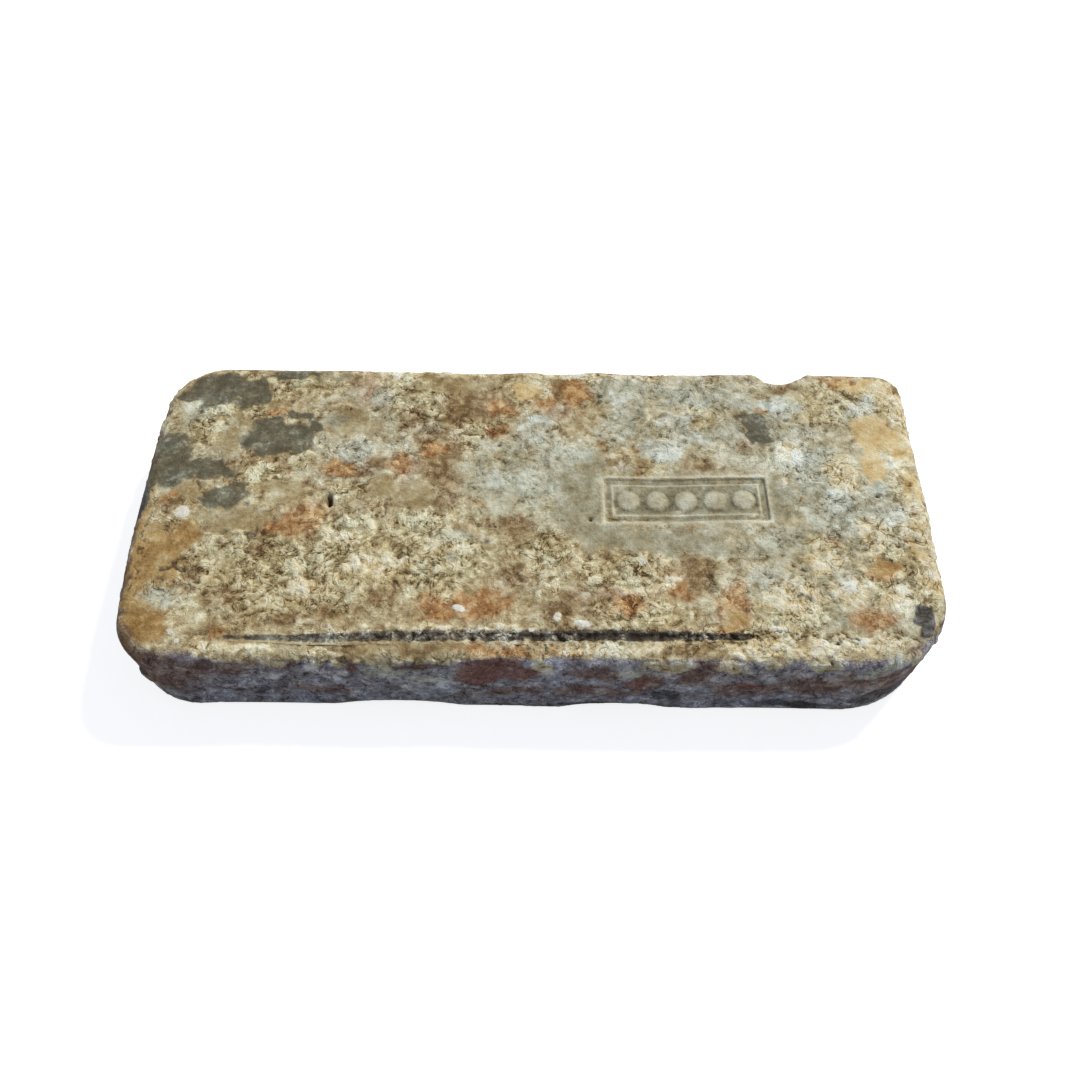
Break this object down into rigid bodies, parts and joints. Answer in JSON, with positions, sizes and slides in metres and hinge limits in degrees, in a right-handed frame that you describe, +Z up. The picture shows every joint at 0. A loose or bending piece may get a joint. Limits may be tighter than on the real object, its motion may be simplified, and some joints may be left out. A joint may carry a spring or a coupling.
{
  "type": "clay brick",
  "caption": "Thin, wide hand-moulded clay brick with rounded corners and arrises, a struck furrow along the front of its top face and a shallow rectangular sunk panel.",
  "frame": {"origin": "centre of the brick's bounding box, on the ground plane that its bed rests on", "axes": "+X along the length towards the end with the sunk panel, +Y from the front stretcher, which has the furrow beside it, to the back stretcher, +Z up through the thickness"},
  "size_m": [0.28, 0.132, 0.032],
  "materials": {
    "fired_clay": "rough fired clay, buff to orange, with pale lime crust, grey lichen and soot stains"
  },
  "bodies": {
    "root": {"brick": "fired_clay"}
  },
  "joints": []
}
